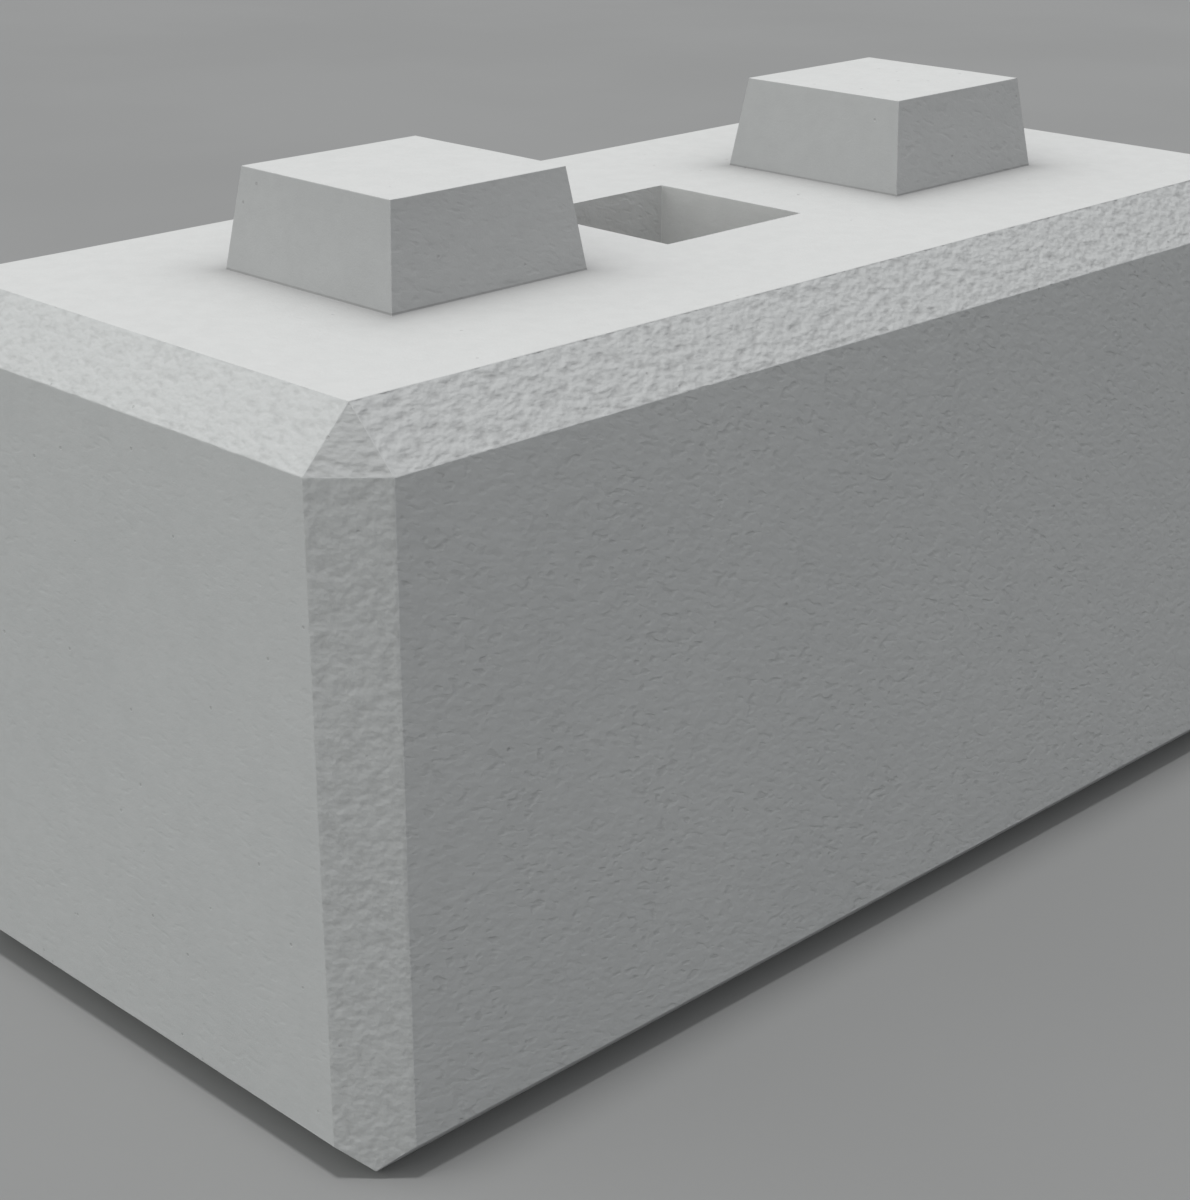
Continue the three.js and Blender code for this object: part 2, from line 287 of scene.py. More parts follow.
def slice_off(point, outward):
    """Cuts the mesh in edit mode at a plane and closes it; the outward side goes."""
    bpy.ops.mesh.select_all(action="SELECT")
    bpy.ops.mesh.bisect(
        plane_co=point, plane_no=outward, use_fill=True, clear_outer=True, threshold=MERGE_GAP
    )


def select_vertices(obj, test):
    """Selects the vertices whose place passes the test, and leaves the mesh in edit mode."""
    bpy.ops.object.mode_set(mode="EDIT")
    bpy.ops.mesh.select_mode(type="VERT")
    bpy.ops.mesh.select_all(action="DESELECT")
    bpy.ops.object.mode_set(mode="OBJECT")
    for vertex in obj.data.vertices:
        vertex.select = test(vertex.co)
    bpy.ops.object.mode_set(mode="EDIT")


def add_tapered(name, x, low_z, high_z, low_side, high_side):
    """Adds a square block on the cross centre line whose two ends differ in size."""
    block = add_box(name, (x - low_side / 2, -low_side / 2, low_z), (x + low_side / 2, low_side / 2, high_z))
    middle_z = (low_z + high_z) / 2
    select_vertices(block, lambda place: place.z > middle_z)
    ratio = high_side / low_side
    bpy.ops.transform.resize(value=(ratio, ratio, 1), center_override=(x, 0, high_z))
    bpy.ops.object.mode_set(mode="OBJECT")
    return block


def combine(target, tool, operation):
    """Joins or cuts one solid with another, and drops the tool."""
    pick(target)
    modifier = target.modifiers.new("combine", "BOOLEAN")
    modifier.operation = operation
    modifier.solver = "EXACT"
    modifier.object = tool
    bpy.ops.object.modifier_apply(modifier=modifier.name)
    bpy.data.objects.remove(tool)


def dent(obj, name, size, depth, group, flatness=1.0):
    """Presses a cloudy pattern into the mesh; nothing comes out past the surface."""
    bpy.ops.object.empty_add(location=(0, 0, 0))
    grid = bpy.context.object
    grid.scale = (1, 1, flatness)
    pick(obj)
    texture = bpy.data.textures.new(name, "CLOUDS")
    texture.noise_scale = size
    modifier = obj.modifiers.new(name, "DISPLACE")
    modifier.texture = texture
    modifier.texture_coords = "OBJECT"
    modifier.texture_coords_object = grid
    modifier.direction = "NORMAL"
    modifier.mid_level = 1.0
    modifier.strength = depth
    modifier.vertex_group = group
    bpy.context.view_layer.update()
    bpy.ops.object.modifier_apply(modifier=modifier.name)
    bpy.data.objects.remove(grid)


def hand_over(piece, material, node):
    """Gives a finished piece its material and its body, and hides the CAD node that it stands for."""
    piece.data.materials.clear()
    piece.data.materials.append(material)
    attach(piece, BODY)
    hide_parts(node)


# ---------------------------------------------------------------- node helpers

class Shader:
    """A material under construction, with short calls for the nodes used here."""

    def __init__(self, name):
        self.material = bpy.data.materials.new(name)
        self.material.use_nodes = True
        self.tree = self.material.node_tree
        self.tree.nodes.clear()
        self.output = self.node("ShaderNodeOutputMaterial")
        self.surface = self.node("ShaderNodeBsdfPrincipled")
        self.place = self.node("ShaderNodeTexCoord").outputs["Object"]
        self.link(self.surface.outputs["BSDF"], self.output.inputs["Surface"])

    def node(self, kind, **settings):
        node = self.tree.nodes.new(kind)
        for key, value in settings.items():
            setattr(node, key, value)
        return node

    def link(self, source, target):
        self.tree.links.new(source, target)

    def feed(self, value, socket):
        if isinstance(value, bpy.types.NodeSocket):
            self.link(value, socket)
        else:
            socket.default_value = value

    def flattened(self, height, slope=0.0):
        """Place for a pattern of this height to its length, turned to slope down along the long sides."""
        mapping = self.node("ShaderNodeMapping", vector_type="TEXTURE")
        self.link(self.place, mapping.inputs["Vector"])
        mapping.inputs["Rotation"].default_value = (0.0, slope, 0.0)
        mapping.inputs["Scale"].default_value = (1.0, 1.0, height)
        return mapping.outputs["Vector"]

    def noise(self, scale, detail=3.0, roughness=0.5, distortion=0.0, place=None):
        node = self.node("ShaderNodeTexNoise")
        self.link(place or self.place, node.inputs["Vector"])
        node.inputs["Scale"].default_value = scale
        node.inputs["Detail"].default_value = detail
        node.inputs["Roughness"].default_value = roughness
        node.inputs["Distortion"].default_value = distortion
        return node.outputs["Fac"]

    def cells(self, scale):
        node = self.node("ShaderNodeTexVoronoi", feature="F1")
        self.link(self.place, node.inputs["Vector"])
        node.inputs["Scale"].default_value = scale
        return node.outputs["Distance"]

    def attribute(self, name):
        return self.node("ShaderNodeAttribute", attribute_name=name).outputs["Fac"]

    def math(self, operation, first, second):
        node = self.node("ShaderNodeMath", operation=operation)
        self.feed(first, node.inputs[0])
        self.feed(second, node.inputs[1])
        return node.outputs[0]

    def ramp(self, value, from_low, from_high, to_low=0.0, to_high=1.0):
        node = self.node("ShaderNodeMapRange", interpolation_type="SMOOTHSTEP")
        self.feed(value, node.inputs["Value"])
        node.inputs["From Min"].default_value = from_low
        node.inputs["From Max"].default_value = from_high
        node.inputs["To Min"].default_value = to_low
        node.inputs["To Max"].default_value = to_high
        return node.outputs["Result"]

    def mix(self, factor, first, second):
        node = self.node("ShaderNodeMix", data_type="RGBA")
        self.feed(factor, node.inputs[MIX_FACTOR])
        for value, socket in ((first, node.inputs[COLOUR_A]), (second, node.inputs[COLOUR_B])):
            self.feed(value if isinstance(value, bpy.types.NodeSocket) else (*value, 1.0), socket)
        return node.outputs[COLOUR_RESULT]

    def blend(self, factor, first, second):
        node = self.node("ShaderNodeMix", data_type="FLOAT")
        self.feed(factor, node.inputs[MIX_FACTOR])
        self.feed(first, node.inputs[NUMBER_A])
        self.feed(second, node.inputs[NUMBER_B])
        return node.outputs[NUMBER_RESULT]

    def bump(self, height, distance, strength=1.0, below=None):
        node = self.node("ShaderNodeBump")
        self.feed(strength, node.inputs["Strength"])
        node.inputs["Distance"].default_value = distance
        self.link(height, node.inputs["Height"])
        if below:
            self.link(below, node.inputs["Normal"])
        return node.outputs["Normal"]

    def finish(self, base, roughness, normal, metallic=0.0):
        self.feed(base, self.surface.inputs["Base Color"])
        self.feed(roughness, self.surface.inputs["Roughness"])
        self.feed(metallic, self.surface.inputs["Metallic"])
        self.link(normal, self.surface.inputs["Normal"])
        return self.material


# ---------------------------------------------------------------- materials

def leg_stains(shader, cast, steel):
    """Share of rust on the pocket floor: rings that have spread from the lifting loop's two legs."""
    parts = shader.node("ShaderNodeSeparateXYZ")
    shader.link(shader.place, parts.inputs[0])
    across = shader.math("SUBTRACT", shader.math("ABSOLUTE", parts.outputs["Y"], 0.0), steel.loop_leg)
    square = shader.math("MULTIPLY", across, across)
    square = shader.math("ADD", square, shader.math("MULTIPLY", parts.outputs["X"], parts.outputs["X"]))
    distance = shader.math("SQRT", square, 0.0)
    wander = shader.math("MULTIPLY", shader.noise(70.0, 4.0, 0.6), cast.stain_reach)
    outer, inner = 1.35 * cast.stain_reach, 0.70 * cast.stain_reach
    spread = shader.ramp(shader.math("ADD", distance, wander), outer, inner)
    floor_z = TOP_Z - cast.pocket_depth
    gone, whole = (floor_z + height for height in STAIN_FADE)
    low = shader.ramp(parts.outputs["Z"], gone, whole)
    above_socket = shader.math("GREATER_THAN", parts.outputs["Z"], floor_z - cast.pocket_depth)
    return shader.math("MULTIPLY", shader.math("MULTIPLY", spread, low), above_socket)


def stud_foot_painted_shade(shader, cast):
    """Share of painted shade on the top face: a dark rim round each stud's foot, which fades as it goes out.
    """
    parts = shader.node("ShaderNodeSeparateXYZ")
    shader.link(shader.place, parts.inputs[0])
    from_stud = shader.math("SUBTRACT", shader.math("ABSOLUTE", parts.outputs["X"], 0.0), STUD_X)
    square = 0.0
    for offset in (from_stud, parts.outputs["Y"]):
        past = shader.math("SUBTRACT", shader.math("ABSOLUTE", offset, 0.0), cast.stud_base / 2)
        past = shader.math("MAXIMUM", past, 0.0)
        square = shader.math("ADD", square, shader.math("MULTIPLY", past, past))
    fall = shader.math("DIVIDE", shader.math("SQRT", square, 0.0), -cast.painted_shade_reach)
    painted_shade = shader.math("MULTIPLY", shader.math("EXPONENT", fall, 0.0), cast.painted_shade_depth)
    from_top = shader.math("ABSOLUTE", shader.math("SUBTRACT", parts.outputs["Z"], TOP_Z), 0.0)
    top_and_arris = shader.math("LESS_THAN", from_top, 1.2 * cast.arris)
    return shader.math("MULTIPLY", painted_shade, top_and_arris)


def cast_concrete(finish, cast, steel):
    """Grey cast concrete: soft pits on its sides, coarse lumps on its bevels, and a paler top that is partly
    painted light; painted shade darkens its pits, holes, lump valleys, upright strips, studs' sides and
    studs' feet.
    """
    shader = Shader("cast_concrete")
    rough = shader.attribute("rough_edge")
    side = shader.attribute("side_face")
    pressed_and_painted_shade = shader.attribute("pressed_face_painted_shade")
    upright = shader.attribute("upright_edge")
    top = shader.attribute("top_skin_and_painted_light")

    drift = shader.ramp(shader.noise(2.3, 4.0, 0.55), 0.35, 0.68)
    mottle = shader.ramp(shader.noise(38.0, 4.0, 0.6), 0.30, 0.72)
    speckle = shader.ramp(shader.noise(520.0, 2.0, 0.6), 0.35, 0.65)

    # fine relief: soft orange peel and long pits on the sides, round holes, and lumps on the bevels
    peel = shader.noise(60.0, 1.0, place=shader.flattened(0.56, cast.pit_slope))
    dashes = shader.noise(72.0, 0.5, place=shader.flattened(0.46, cast.pit_slope))
    clusters = shader.ramp(shader.noise(11.0, 2.0), 0.36, 0.60, 0.45, 1.0)
    pit_share = shader.math("MULTIPLY", side, clusters)
    pits = shader.math("MULTIPLY", shader.ramp(dashes, 0.40, 0.22), pit_share)
    bubbles = shader.cells(26.0)
    hole_shade = shader.ramp(bubbles, 0.060, 0.035)
    sloping_lumps = shader.noise(68.0, 1.5, place=shader.flattened(0.53))
    upright_lumps = shader.noise(95.0, 1.5)
    lumps = shader.blend(upright, sloping_lumps, upright_lumps)
    valley_shade = shader.math("MULTIPLY", shader.ramp(lumps, 0.48, 0.30), rough)

    # partly painted light: upward faces and the pocket's walls take the paler trowelled colour
    skin = shader.mix(top, finish.formed, finish.trowelled)
    # painted shade: the studs' and sockets' sides and the corner triangles take the darker pressed colour
    skin = shader.mix(pressed_and_painted_shade, skin, finish.pressed_and_painted_shade)
    # painted shade: the upright corner strips are darkened
    skin = shader.mix(shader.math("MULTIPLY", upright, STRIP_SHADE), skin, finish.dark_tone_and_painted_shade)
    # painted shade: the top darkens towards each stud's foot
    skin = shader.mix(stud_foot_painted_shade(shader, cast), skin, finish.dark_tone_and_painted_shade)
    skin = shader.mix(leg_stains(shader, cast, steel), skin, finish.stain)
    skin = shader.mix(shader.math("MULTIPLY", drift, DRIFT_SHARE), skin, finish.trowelled)
    skin = shader.mix(shader.math("MULTIPLY", mottle, MOTTLE_SHARE), skin, finish.dark_tone_and_painted_shade)
    skin = shader.mix(shader.math("MULTIPLY", speckle, SPECKLE_SHARE), skin, finish.dark_tone_and_painted_shade)
    # painted shade: pits, holes and lump valleys are darkened towards the pit colour
    dark = shader.math("MULTIPLY", pits, PIT_SHADE)
    dark = shader.math("MAXIMUM", dark, shader.math("MULTIPLY", hole_shade, HOLE_SHADE))
    dark = shader.math("MAXIMUM", dark, shader.math("MULTIPLY", valley_shade, VALLEY_SHADE))
    skin = shader.mix(dark, skin, finish.dark_tone_and_painted_shade)

    roughness = shader.ramp(mottle, 0.0, 1.0, 0.82, 0.95)
    on_sides = shader.ramp(side, 0.0, 1.0, 0.15, 1.0)
    on_sides = shader.math("MULTIPLY", on_sides, shader.ramp(pressed_and_painted_shade, 0.0, 1.0, 1.0, 0.3))
    in_clusters = shader.math("MULTIPLY", on_sides, clusters)
    normal = shader.bump(shader.noise(430.0, 3.0, 0.7), GRAIN_HEIGHT, 0.5)
    normal = shader.bump(shader.ramp(peel, 0.30, 0.66), PEEL_HEIGHT, on_sides, below=normal)
    normal = shader.bump(shader.ramp(dashes, 0.22, 0.45), PIT_HEIGHT, in_clusters, below=normal)
    normal = shader.bump(shader.ramp(bubbles, 0.035, 0.060), HOLE_HEIGHT, 0.5, below=normal)
    normal = shader.bump(lumps, LUMP_HEIGHT, rough, below=normal)
    return shader.finish(skin, roughness, normal)


def mortar(finish):
    """Grey-brown mortar with sand showing."""
    shader = Shader("spacer_mortar")
    sand = shader.noise(600.0, 3.0, 0.7)
    body = shader.mix(shader.ramp(sand, 0.35, 0.65, 0.0, 0.5), finish.mortar, finish.dark_tone_and_painted_shade)
    body = shader.mix(shader.ramp(shader.noise(60.0), 0.35, 0.65, 0.0, 0.3), body, finish.trowelled)
    roughness = shader.ramp(sand, 0.3, 0.7, 0.85, 0.97)
    return shader.finish(body, roughness, shader.bump(sand, 0.0008, 0.7))


def rusty_steel(name, bare, rust, rust_low, rust_high, scale):
    """Steel under patchy rust; more of it shows as the two limits come down."""
    shader = Shader(name)
    patches = shader.noise(scale, 6.0, 0.65, 0.6)
    cover = shader.ramp(patches, rust_low, rust_high)
    blotch = shader.noise(scale * 4.0, 4.0, 0.6)
    dull = tuple(0.45 * channel for channel in rust)
    rusted = shader.mix(shader.ramp(blotch, 0.35, 0.65), rust, dull)
    base = shader.mix(cover, bare, rusted)
    roughness = shader.ramp(cover, 0.0, 1.0, 0.38, 0.86)
    metallic = shader.ramp(cover, 0.0, 1.0, 0.9, 0.05)
    pitting = shader.bump(blotch, 0.0006, cover)
    normal = shader.bump(shader.noise(1400.0, 2.0), 0.00012, 0.4, below=pitting)
    return shader.finish(base, roughness, normal, metallic)


def studio_floor_finish(finish):
    """Pale seamless floor with a faint uneven tone."""
    shader = Shader("studio_floor")
    tone = shader.noise(0.8, 3.0)
    shaded = tuple(0.96 * channel for channel in finish.floor)
    base = shader.mix(shader.ramp(tone, 0.3, 0.7), finish.floor, shaded)
    roughness = shader.ramp(tone, 0.3, 0.7, 0.85, 0.92)
    return shader.finish(base, roughness, shader.bump(shader.noise(60.0), 0.0004, 0.2))


# ---------------------------------------------------------------- casting

def shape_body(cast):
    """Box with bevelled upright corners, sloping top chamfers, corner triangles and a bevelled foot."""
    body = add_box("cast_block", LOW, (HIGH.x, HIGH.y, TOP_Z))
    shoulder_z = TOP_Z - cast.chamfer_drop
    across, drop, leg, foot = cast.chamfer_run, cast.chamfer_drop, cast.corner_leg, cast.undercut
    edit_mode()
    for x in SIDES:
        for y in SIDES:
            slice_off((x * (HIGH.x - leg), y * HIGH.y, 0), (x, y, 0))
    for side in SIDES:
        slice_off((side * HIGH.x, 0, shoulder_z), (side * drop, 0, across))
        slice_off((0, side * HIGH.y, shoulder_z), (0, side * drop, across))
    tilt = (2 * across - leg) / drop
    for x in SIDES:
        for y in SIDES:
            slice_off((x * (HIGH.x - leg), y * HIGH.y, shoulder_z), (x, y, tilt))
    for side in SIDES:
        slice_off((side * (HIGH.x - foot), 0, 0), (side, 0, -1))
        slice_off((0, side * (HIGH.y - foot), 0), (0, side, -1))
    bpy.ops.object.mode_set(mode="OBJECT")
    return body


def add_studs_and_hollows(body, cast):
    """Joins on the two studs, and cuts the socket under each one and the lifting pocket between them."""
    for side in SIDES:
        x = side * STUD_X
        root_z = TOP_Z - OVERRUN
        rise = STUD_TOP_Z - TOP_Z
        growth = (cast.stud_base - cast.stud_top) * OVERRUN / rise
        stud = add_tapered("stud", x, root_z, STUD_TOP_Z, cast.stud_base + growth, cast.stud_top)
        combine(body, stud, "UNION")
        mouth = cast.stud_base + 2 * cast.socket_clearance
        roof = cast.stud_top + 2 * cast.socket_clearance
        flare = (mouth - roof) * OVERRUN / SOCKET_ROOF_Z
        socket = add_tapered("socket", x, -OVERRUN, SOCKET_ROOF_Z, mouth + flare, roof)
        combine(body, socket, "DIFFERENCE")
    lean = (cast.pocket_mouth - cast.pocket_floor) * OVERRUN / cast.pocket_depth
    pocket = add_tapered(
        "pocket", 0, TOP_Z - cast.pocket_depth, TOP_Z + OVERRUN, cast.pocket_floor, cast.pocket_mouth + lean
    )
    combine(body, pocket, "DIFFERENCE")


def let_in_spacers(body):
    """Opens the underside round each cover spacer, so that its foot shows flush with the concrete."""
    for node in frame["nodes"]:
        if kind_of(node) == "cover_spacer":
            low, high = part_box(node)
            gap = Vector((JOINT_GAP, JOINT_GAP, JOINT_GAP))
            bed = add_box("spacer_bed", low - gap - Vector((0, 0, OVERRUN)), high + gap)
            combine(body, bed, "DIFFERENCE")


def wear_arrises(body, cast):
    """Takes a narrow flat off every sharp edge."""
    pick(body)
    edit_mode()
    bpy.ops.mesh.select_mode(type="EDGE")
    bpy.ops.mesh.edges_select_sharp(sharpness=SHARP_EDGE)
    bpy.ops.mesh.bevel(offset=cast.arris / 2, segments=1, affect="EDGES", offset_type="WIDTH")
    bpy.ops.object.mode_set(mode="OBJECT")


def cut_into_cells(cast):
    """Cuts the mesh in edit mode into cells by planes across each axis."""
    spans = ((LOW.x, HIGH.x), (LOW.y, HIGH.y), (LOW.z, STUD_TOP_Z))
    for axis, (low, high) in enumerate(spans):
        count = round((high - low) / cast.cell)
        normal = Vector([float(axis == index) for index in range(3)])
        for step in range(1, count):
            place = normal * (low + (high - low) * (step / count))
            bpy.ops.mesh.select_all(action="SELECT")
            bpy.ops.mesh.bisect(plane_co=place, plane_no=normal, threshold=10 * MERGE_GAP)


def is_bevel(normal):
    """True where a face is neither upright nor level, or stands at a bevelled corner."""
    return max(abs(normal.x), abs(normal.y), abs(normal.z)) < SQUARE_ON


def bevels(cast):
    """Outward directions of the wide bevels where every axis is positive, and how rough each one is."""
    tilt = (2 * cast.chamfer_run - cast.corner_leg) / cast.chamfer_drop
    rows = (
        ((0, cast.chamfer_drop, cast.chamfer_run), 1.0),
        ((cast.chamfer_drop, 0, cast.chamfer_run), 0.6),
        ((1, 1, tilt), CORNER_ROUGHNESS),
        ((1, 1, 0), 0.6),
        ((1, 0, -1), 0.5),
        ((0, 1, -1), 0.5),
    )
    return [(Vector(direction).normalized(), rough) for direction, rough in rows]


def roughness_of(face, rows):
    """How rough a face is: nothing on flats, studs, hollows and worn arrises."""
    facing = Vector((abs(face.normal.x), abs(face.normal.y), face.normal.z))
    return max((rough for normal, rough in rows if facing.dot(normal) > SAME_WAY), default=0.0)


def is_in_pocket(face, cast):
    """True on the walls of the lifting pocket."""
    half = cast.pocket_mouth / 2 + cast.arris
    place = face.center
    return SOCKET_ROOF_Z < place.z < TOP_Z - cast.arris and max(abs(place.x), abs(place.y)) < half


def is_pressed(face, cast):
    """True on the studs and inside the sockets."""
    in_socket = face.center.z < SOCKET_ROOF_Z and abs(face.center.y) < HIGH.y - 2 * cast.chamfer_run
    return face.center.z > TOP_Z or in_socket and abs(face.center.x) < HIGH.x - 2 * cast.chamfer_run


def is_upright_bevel(face, rough):
    """True on the strip down each bevelled corner."""
    return rough > 0 and abs(face.normal.z) < UPRIGHT


def side_grain(face, rough, cast):
    """Share of the pits that a face has: all on the long sides, few on the ends, half in the pocket."""
    if rough or abs(face.normal.z) > STEEP:
        return 0.0
    return max(END_GRAIN, abs(face.normal.y)) * (POCKET_GRAIN if is_in_pocket(face, cast) else 1.0)


def pale_skin_and_painted_light(face, cast):
    """Share of the pale top's colour that a face has: partly the top's cement skin, partly painted light that
    grows as the face turns up, and painted light on the pocket's walls.
    """
    return max(0.0, face.normal.z) ** 3 + POCKET_PAINTED_LIGHT * is_in_pocket(face, cast)


def pressing_painted_shade(face, rough, cast):
    """Share of the pressed colour, which is painted shade: all on the studs' and sockets' sides, some on the
    corner triangles.
    """
    if rough == CORNER_ROUGHNESS:
        return CORNER_PAINTED_SHADE
    return float(abs(face.normal.z) < STEEP and is_pressed(face, cast))


def refine_rough_cells(body, cast):
    """Cuts the cells of the bevels above the foot finer, so that their lumps are real geometry."""
    pick(body)
    edit_mode()
    bpy.ops.mesh.select_mode(type="FACE")
    bpy.ops.object.mode_set(mode="OBJECT")
    rows = bevels(cast)
    for face in body.data.polygons:
        face.select = face.normal.z > -STEEP and roughness_of(face, rows) > 0
    bpy.ops.object.mode_set(mode="EDIT")
    bpy.ops.mesh.quads_convert_to_tris()
    bpy.ops.mesh.subdivide(number_cuts=cast.fine_cuts)
    bpy.ops.object.mode_set(mode="OBJECT")


def mark_faces(body, cast):
    """Writes where the concrete is rough, and which faces are sides, for its dents and its material."""
    mesh = body.data
    rows = bevels(cast)
    rough_faces = [roughness_of(face, rows) for face in mesh.polygons]
    rough_count = [0] * len(mesh.vertices)
    face_count = [0] * len(mesh.vertices)
    upright = [False] * len(mesh.vertices)
    for face, rough in zip(mesh.polygons, rough_faces):
        for index in face.vertices:
            face_count[index] += 1
            rough_count[index] += rough
            upright[index] = upright[index] or is_upright_bevel(face, rough)
    sloping_lumps = body.vertex_groups.new(name="sloping_lumps")
    upright_lumps = body.vertex_groups.new(name="upright_lumps")
    flats = body.vertex_groups.new(name="flats")
    for index, (rough, faces) in enumerate(zip(rough_count, face_count)):
        share = rough / max(faces, 1)
        if share > 0:
            lumps = upright_lumps if upright[index] else sloping_lumps
            lumps.add([index], share, "REPLACE")
        elif mesh.vertices[index].co.z > LOW.z + cast.arris:
            flats.add([index], 1.0, "REPLACE")
    marks = {
        "upright_edge": is_upright_bevel,
        "rough_edge": lambda face, rough: rough,
        "side_face": lambda face, rough: side_grain(face, rough, cast),
        "top_skin_and_painted_light": lambda face, rough: pale_skin_and_painted_light(face, cast),
        "pressed_face_painted_shade": lambda face, rough: pressing_painted_shade(face, rough, cast),
    }
    for name, mark in marks.items():
        layer = mesh.attributes.new(name, "FLOAT", "FACE")
        for face, rough in zip(mesh.polygons, rough_faces):
            layer.data[face.index].value = float(mark(face, rough))


class BLOCK_OT_cast_block(bpy.types.Operator):
    """Model the concrete casting with its bevels, studs, sockets and lifting pocket"""
    bl_idname = "block.cast_block"
    bl_label = "Cast block"

    def execute(self, context):
        scene = context.scene
        cast = scene.block_casting
        concrete = cast_concrete(scene.block_finish, cast, scene.block_steel)
        body = shape_body(cast)
        add_studs_and_hollows(body, cast)
        wear_arrises(body, cast)
        let_in_spacers(body)
        edit_mode()
        cut_into_cells(cast)
        bpy.ops.object.mode_set(mode="OBJECT")
        refine_rough_cells(body, cast)
        mark_faces(body, cast)
        size, depth = cast.lump_size, cast.lump_depth
        dent(body, "sloping_lumps", size, depth, "sloping_lumps", cast.lump_flatness)
        dent(body, "upright_lumps", size * UPRIGHT_LUMP_SHARE, depth, "upright_lumps")
        dent(body, "hollows", cast.hollow_size, cast.hollow_depth, "flats")
        for face in body.data.polygons:
            face.use_smooth = is_bevel(face.normal)
        hand_over(body, concrete, "concrete_block")
        return {"FINISHED"}


# ---------------------------------------------------------------- steel

def add_ring(name, place, rotation, radius, sides):
    """Starts a bar as an open ring, in edit mode with the ring selected."""
    object_mode()
    bpy.ops.mesh.primitive_circle_add(vertices=sides, radius=radius, location=place, rotation=rotation)
    bpy.ops.object.transform_apply(location=True, rotation=True, scale=True)
    bar = bpy.context.object
    bar.name = name
    bar.data.name = name
    bpy.ops.object.mode_set(mode="EDIT")
    bpy.ops.mesh.select_mode(type="EDGE")
    bpy.ops.mesh.select_all(action="SELECT")
    return bar


def draw_straight(vector):
    """Draws the selected ring out along a straight."""
    bpy.ops.mesh.extrude_edges_move(TRANSFORM_OT_translate={"value": vector})


def draw_bend(centre, angle, steps):
    """Draws the selected ring round a bend in the upright plane across the block."""
    bpy.ops.mesh.spin(steps=steps, angle=angle, center=centre, axis=(1, 0, 0))


def close_ends(bar, tests, arris):
    """Closes a bar's open ends, chamfers them, and turns its faces outwards."""
    for test in tests:
        select_vertices(bar, test)
        bpy.ops.mesh.select_mode(type="EDGE")
        bpy.ops.mesh.edge_face_add()
    for test in tests:
        select_vertices(bar, test)
        bpy.ops.mesh.select_mode(type="EDGE")
        bpy.ops.mesh.bevel(offset=arris, segments=1, affect="EDGES")
    bpy.ops.mesh.select_all(action="SELECT")
    bpy.ops.mesh.normals_make_consistent(inside=False)
    bpy.ops.object.mode_set(mode="OBJECT")


def model_loop(steel):
    """Round bar that rises from one turned-out foot, bows over, and goes down to the other foot."""
    low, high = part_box("lifting_loop")
    radius = (high.x - low.x) / 2
    tip_y, foot_z = high.y, low.z + radius
    leg_y, bend = steel.loop_leg, steel.loop_bend
    bow_z = high.z - radius - leg_y
    foot_run = tip_y - leg_y - bend
    rise = bow_z - foot_z - bend
    loop = add_ring("lifting_loop_bar", (0, -tip_y, foot_z), (QUARTER_TURN, 0, 0), radius, steel.loop_sides)
    draw_straight((0, foot_run, 0))
    draw_bend((0, -leg_y - bend, foot_z + bend), TURN_SIGN * QUARTER_TURN, steel.bend_steps)
    draw_straight((0, 0, rise))
    draw_bend((0, 0, bow_z), -TURN_SIGN * 2 * QUARTER_TURN, 3 * steel.bend_steps)
    draw_straight((0, 0, -rise))
    draw_bend((0, leg_y + bend, foot_z + bend), TURN_SIGN * QUARTER_TURN, steel.bend_steps)
    draw_straight((0, foot_run, 0))
    bpy.ops.object.mode_set(mode="OBJECT")
    edge = tip_y - OVERRUN / 2
    close_ends(loop, (lambda place: place.y < -edge, lambda place: place.y > edge), steel.end_chamfer)
    bpy.ops.object.shade_smooth_by_angle(angle=SMOOTH_EDGE)
    return loop


def ribbed_stock(name, diameter, span, steel):
    """Straight ribbed bar along X: one rib is modelled, repeated along the bar, and the ends closed."""
    count = round(span / (steel.rib_pitch * diameter))
    pitch = span / count
    core = steel.core_share * diameter / 2
    bar = add_ring(name, (0, 0, 0), (0, QUARTER_TURN, 0), core, steel.bar_sides)
    for share, growth in RIB_STEPS:
        draw_straight((share * pitch, 0, 0))
        size = (1 / steel.core_share) ** growth
        bpy.ops.transform.resize(value=(1, size, size), center_override=(0, 0, 0))
    bpy.ops.object.mode_set(mode="OBJECT")
    array = bar.modifiers.new("ribs", "ARRAY")
    array.count = count
    array.use_relative_offset = False
    array.use_constant_offset = True
    array.constant_offset_displace = (pitch, 0, 0)
    array.use_merge_vertices = True
    edge = pitch / 100
    array.merge_threshold = edge
    bpy.ops.object.modifier_apply(modifier=array.name)
    ends = (lambda place: place.x < edge, lambda place: place.x > span - edge)
    close_ends(bar, ends, core * BAR_END_SHARE)
    return bar


def rounded_route(corners, radius, steps):
    """Points of a centre line that goes straight between corners and bends round each inner one."""
    route = [corners[0]]
    for before, at, after in zip(corners, corners[1:], corners[2:]):
        back, ahead = (before - at).normalized(), (after - at).normalized()
        half = back.angle(ahead) / 2
        reach = radius / math.tan(half)
        centre = at + (back + ahead).normalized() * (radius / math.sin(half))
        start, end = (at + back * reach - centre).normalized(), (at + ahead * reach - centre).normalized()
        route += [centre + radius * start.slerp(end, step / steps) for step in range(steps + 1)]
    return route + [corners[-1]]


